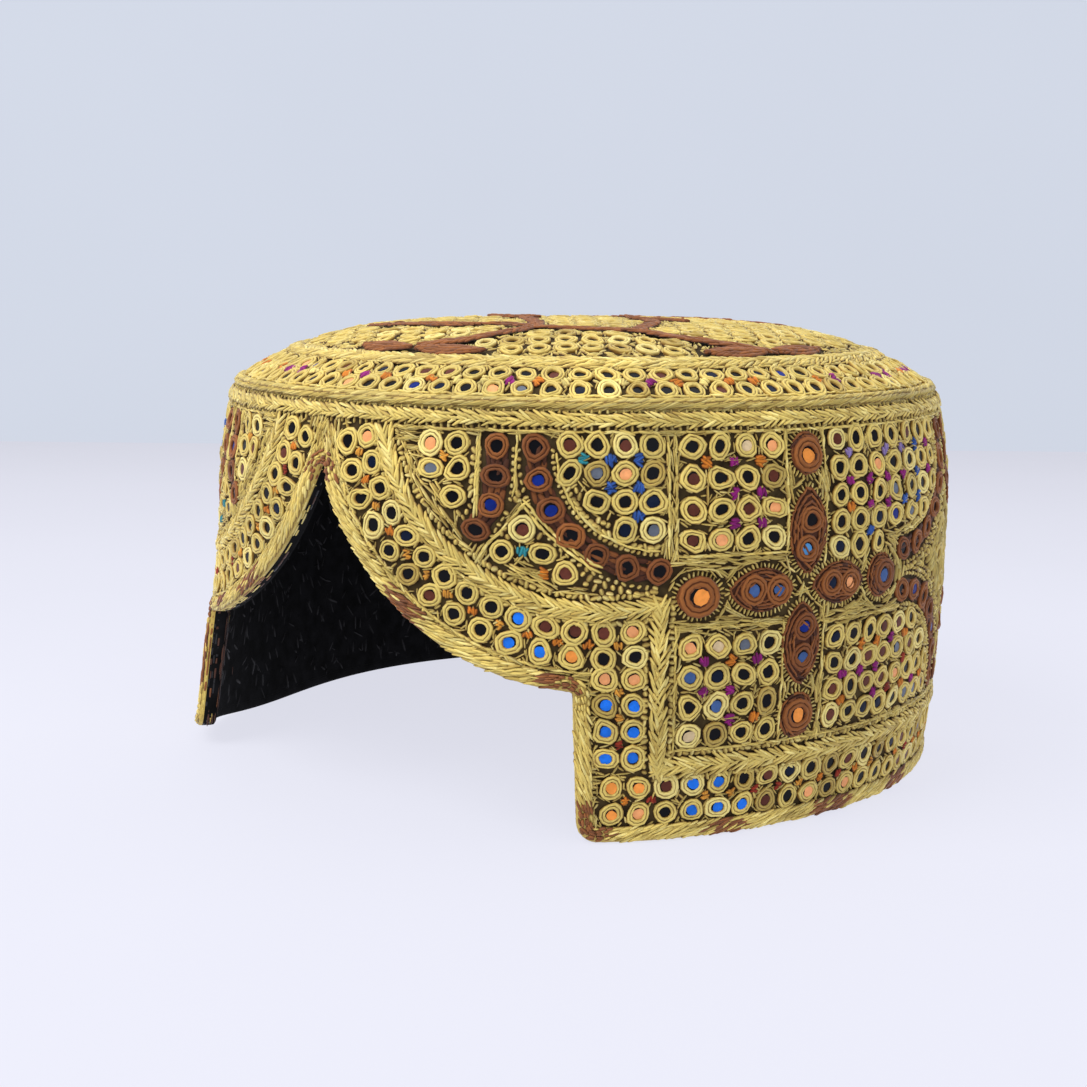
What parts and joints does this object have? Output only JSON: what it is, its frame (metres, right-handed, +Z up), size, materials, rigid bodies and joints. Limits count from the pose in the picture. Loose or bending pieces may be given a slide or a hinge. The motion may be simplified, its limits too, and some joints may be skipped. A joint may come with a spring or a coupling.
{
  "type": "embroidered sindhi cap",
  "caption": "Round stiff cloth cap with a domed crown, an arched front opening between two flaps, a corded edge and raised mirror embroidery.",
  "frame": {"origin": "middle of the cap's bounding box on the ground, under the middle of the rim", "axes": "+Z up through the crown; the arched front opening faces -Y, so +Y is the back; +X is towards the flap that stands flat on the ground"},
  "size_m": [0.1946, 0.1936, 0.1132],
  "materials": {
    "olive_cloth": "matte stitched cloth",
    "black_lining": "matte quilted cotton",
    "gold_thread": "satin embroidery thread",
    "brown_thread": "matte embroidery thread"
  },
  "bodies": {
    "root": {"back_arc_left_high": "brown_thread", "back_arc_left_low": "brown_thread", "back_arc_right_high": "brown_thread", "back_arc_right_low": "brown_thread", "back_bottom_round": "brown_thread", "back_front_leaf": "brown_thread", "back_front_round": "brown_thread", "back_hook_left_high": "brown_thread", "back_hook_left_low": "brown_thread", "back_hook_right_high": "brown_thread", "back_hook_right_low": "brown_thread", "back_lower_leaf": "brown_thread", "back_rear_leaf": "brown_thread", "back_rear_round": "brown_thread", "back_top_round": "brown_thread", "back_upper_leaf": "brown_thread", "border_braid": "gold_thread", "crown_panel": "olive_cloth", "crown_ring": "gold_thread", "edge_binding": "gold_thread", "left_arc_front_high": "brown_thread", "left_arc_rear_high": "brown_thread", "left_arc_rear_low": "brown_thread", "left_bottom_round": "brown_thread", "left_front_leaf": "brown_thread", "left_front_round": "brown_thread", "left_hook_front_high": "brown_thread", "left_hook_rear_high": "brown_thread", "left_hook_rear_low": "brown_thread", "left_lower_leaf": "brown_thread", "left_rear_leaf": "brown_thread", "left_rear_round": "brown_thread", "left_top_round": "brown_thread", "left_upper_leaf": "brown_thread", "lining": "black_lining", "ridge_cord": "gold_thread", "right_arc_front_high": "brown_thread", "right_arc_rear_high": "brown_thread", "right_arc_rear_low": "brown_thread", "right_bottom_round": "brown_thread", "right_front_leaf": "brown_thread", "right_front_round": "brown_thread", "right_hook_front_high": "brown_thread", "right_hook_rear_high": "brown_thread", "right_hook_rear_low": "brown_thread", "right_lower_leaf": "brown_thread", "right_rear_leaf": "brown_thread", "right_rear_round": "brown_thread", "right_top_round": "brown_thread", "right_upper_leaf": "brown_thread", "rim_braid": "gold_thread", "side_band": "olive_cloth", "star_far_line": "brown_thread", "star_leaves_1": "brown_thread", "star_leaves_2": "brown_thread", "star_leaves_3": "brown_thread", "star_leaves_4": "brown_thread", "star_left_line": "brown_thread", "star_near_line": "brown_thread", "star_right_line": "brown_thread"}
  },
  "joints": []
}
